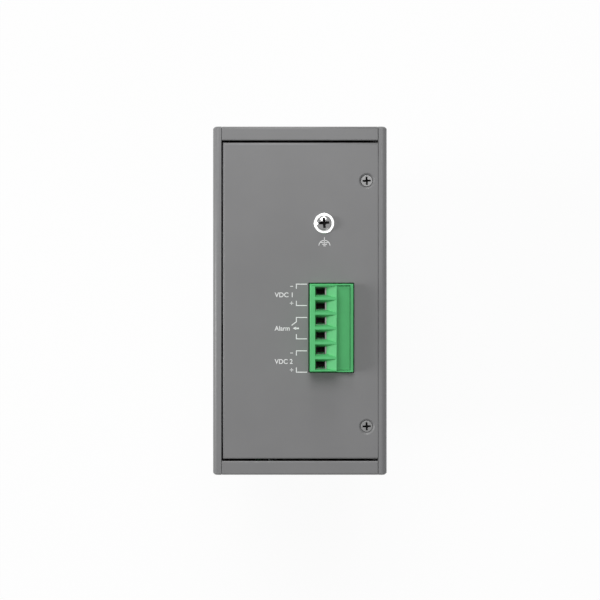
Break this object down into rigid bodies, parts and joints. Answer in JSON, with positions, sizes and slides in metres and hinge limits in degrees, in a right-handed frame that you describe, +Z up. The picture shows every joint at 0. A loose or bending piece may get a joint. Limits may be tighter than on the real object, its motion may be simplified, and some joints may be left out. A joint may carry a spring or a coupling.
{
  "type": "din rail ethernet switch",
  "caption": "Metal-cased industrial network switch that clips to a mounting rail, with a plug-in screw terminal on top, ports at the front and a sprung rail latch.",
  "frame": {"origin": "centre of the case's flat lower end", "axes": "+Z up, +Y back to the mounting rail, +X to the right as seen from the port side"},
  "size_m": [0.061, 0.1291, 0.168],
  "materials": {
    "cast_plate": "satin",
    "panel_paint": "satin",
    "screw_steel": "satin",
    "earth_steel": "bright zinc",
    "terminal_green": "satin",
    "clamp_metal": "nickel plated",
    "contact_metal": "plated",
    "board_green": "solder mask",
    "connector_black": "moulded",
    "shield_metal": "tinned",
    "clear_plastic": "clear",
    "led_white": "moulded",
    "chip_black": "moulded",
    "heat_sink_metal": "black anodised",
    "ferrite": "sintered",
    "can_metal": "sleeved",
    "fuse_brown": "moulded",
    "relay_blue": "moulded",
    "clip_steel": "zinc plated",
    "latch_plastic": "moulded",
    "spring_steel": "sprung"
  },
  "bodies": {
    "housing": {"left_side_plate": "cast_plate", "right_side_plate": "cast_plate", "front_panel": "panel_paint", "rear_panel": "panel_paint", "top_panel": "panel_paint", "bottom_panel": "panel_paint", "top_panel_screws": "screw_steel", "earth_screw": "earth_steel", "earth_washer": "earth_steel", "earth_nut": "earth_steel", "terminal_header": "terminal_green", "header_pins": "contact_metal", "terminal_plug": "terminal_green", "terminal_clamps": "clamp_metal", "terminal_screws": "clamp_metal", "plug_contacts": "contact_metal", "main_board": "board_green", "power_board": "board_green", "board_standoffs": "clamp_metal", "board_spacers": "clamp_metal", "board_socket": "connector_black", "board_header": "connector_black", "rj45_shield": "shield_metal", "rj45_housing": "connector_black", "rj45_contacts": "contact_metal", "sfp_cage": "shield_metal", "sfp_connectors": "connector_black", "status_light_pipes": "clear_plastic", "status_leds": "led_white", "switch_chip": "chip_black", "heat_sink": "heat_sink_metal", "port_chips": "chip_black", "memory_chips": "chip_black", "clock_crystal": "can_metal", "power_inductors": "ferrite", "power_transformer": "ferrite", "bulk_capacitors": "can_metal", "input_fuses": "fuse_brown", "input_choke": "ferrite", "fault_relay": "relay_blue", "rail_bracket": "clip_steel", "bracket_screws": "screw_steel", "latch_spring": "spring_steel"},
    "rail_latch": {"rail_latch": "latch_plastic"}
  },
  "joints": [
    {"name": "rail_latch_slide", "type": "slide", "parent": "housing", "child": "rail_latch", "axis": [0, 0, -1], "range_m": [0, 0.006], "stiffness_N_per_m": 1500, "springref_m": -0.004, "deforming": ["latch_spring"]}
  ]
}
